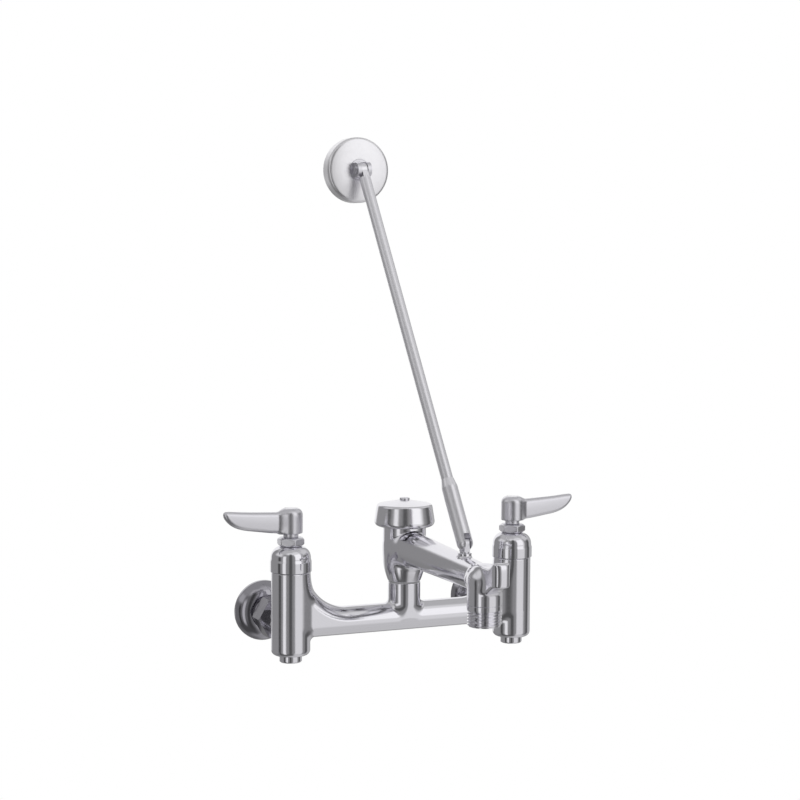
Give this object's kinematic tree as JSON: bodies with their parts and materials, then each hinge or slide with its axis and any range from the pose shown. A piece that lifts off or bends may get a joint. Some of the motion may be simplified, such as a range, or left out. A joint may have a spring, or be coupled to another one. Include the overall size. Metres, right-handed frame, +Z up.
{
  "type": "wall-mounted service sink faucet",
  "caption": "Wall-mounted service sink faucet with lever handles, integral stops, vacuum breaker, pail hook, threaded hose outlet and a wall brace.",
  "frame": {"origin": "on the wall plane, midway between the two inlets, at the inlets' height", "axes": "+X to the user's right along the wall, +Y into the wall, +Z up"},
  "size_m": [0.3192, 0.2515, 0.4331],
  "materials": {
    "chrome": "polished chrome plate on cast and turned brass",
    "plain_brass": "machined, unplated",
    "seal_rubber": "moulded seals and gaskets, matt black",
    "ceramic": "lapped white ceramic",
    "float_plastic": "moulded, off-white"
  },
  "bodies": {
    "faucet": {"faucet_body": "chrome", "spout_body": "chrome", "riser_gasket": "seal_rubber", "vent_bonnet": "plain_brass", "vent_cap": "chrome", "cap_screw": "chrome", "hose_outlet": "chrome", "left_inlet_shank": "chrome", "left_union_nut": "chrome", "left_union_washer": "seal_rubber", "left_wall_flange": "chrome", "left_seat_gasket": "seal_rubber", "left_fixed_disc": "ceramic", "left_cartridge_sleeve": "plain_brass", "left_bonnet_gasket": "seal_rubber", "left_bonnet": "chrome", "left_stem_packing": "seal_rubber", "left_packing_nut": "chrome", "left_stop_nut": "chrome", "right_inlet_shank": "chrome", "right_union_nut": "chrome", "right_union_washer": "seal_rubber", "right_wall_flange": "chrome", "right_seat_gasket": "seal_rubber", "right_fixed_disc": "ceramic", "right_cartridge_sleeve": "plain_brass", "right_bonnet_gasket": "seal_rubber", "right_bonnet": "chrome", "right_stem_packing": "seal_rubber", "right_packing_nut": "chrome", "right_stop_nut": "chrome"},
    "left_handle": {"left_lever": "chrome", "left_stem": "plain_brass", "left_moving_disc": "ceramic", "left_lever_screw": "chrome", "left_index_button": "chrome"},
    "right_handle": {"right_lever": "chrome", "right_stem": "plain_brass", "right_moving_disc": "ceramic", "right_lever_screw": "chrome", "right_index_button": "chrome"},
    "left_stop": {"left_stop_plug": "plain_brass"},
    "right_stop": {"right_stop_plug": "plain_brass"},
    "vent_float": {"vent_float": "float_plastic", "float_washer": "seal_rubber"},
    "brace_foot": {"brace_stud": "chrome"},
    "brace_tube": {"brace_sleeve": "chrome", "sleeve_pin": "chrome", "sleeve_set_screw": "chrome"},
    "brace_bar": {"brace_rod": "chrome"},
    "brace_wall_end": {"brace_clevis": "chrome", "clevis_pin": "chrome", "brace_flange": "chrome"}
  },
  "joints": [
    {"name": "left_handle_turn", "type": "hinge", "parent": "faucet", "child": "left_handle", "pos_m": [-0.1016, -0.068, 0], "axis": [0, 0, 1], "range_deg": [0, 90]},
    {"name": "right_handle_turn", "type": "hinge", "parent": "faucet", "child": "right_handle", "pos_m": [0.1016, -0.068, 0], "axis": [0, 0, 1], "range_deg": [-90, 0]},
    {"name": "left_stop_turn", "type": "hinge", "parent": "faucet", "child": "left_stop", "pos_m": [-0.1016, -0.068, 0], "axis": [0, 0, 1], "range_deg": [0, 90]},
    {"name": "right_stop_turn", "type": "hinge", "parent": "faucet", "child": "right_stop", "pos_m": [0.1016, -0.068, 0], "axis": [0, 0, 1], "range_deg": [-90, 0]},
    {"name": "float_lift", "type": "slide", "parent": "faucet", "child": "vent_float", "axis": [0, 0, 1], "range_m": [0, 0.0045]},
    {"name": "brace_swivel", "type": "hinge", "parent": "faucet", "child": "brace_foot", "pos_m": [0, -0.1837, 0], "axis": [0, 0, 1], "range_deg": [-60, 60]},
    {"name": "brace_tilt", "type": "hinge", "parent": "brace_foot", "child": "brace_tube", "pos_m": [0, -0.1837, 0.0784], "axis": [0.993, 0.1185, 0], "range_deg": [-35, 60]},
    {"name": "brace_length", "type": "slide", "parent": "brace_tube", "child": "brace_bar", "axis": [-0.0576, 0.4826, 0.8739], "range_m": [-0.01, 0.017]},
    {"name": "brace_flange_tilt", "type": "hinge", "parent": "brace_bar", "child": "brace_wall_end", "pos_m": [-0.0195, -0.0203, 0.3743], "axis": [0.9978, 0, 0.0658], "range_deg": [-28, 150]}
  ]
}
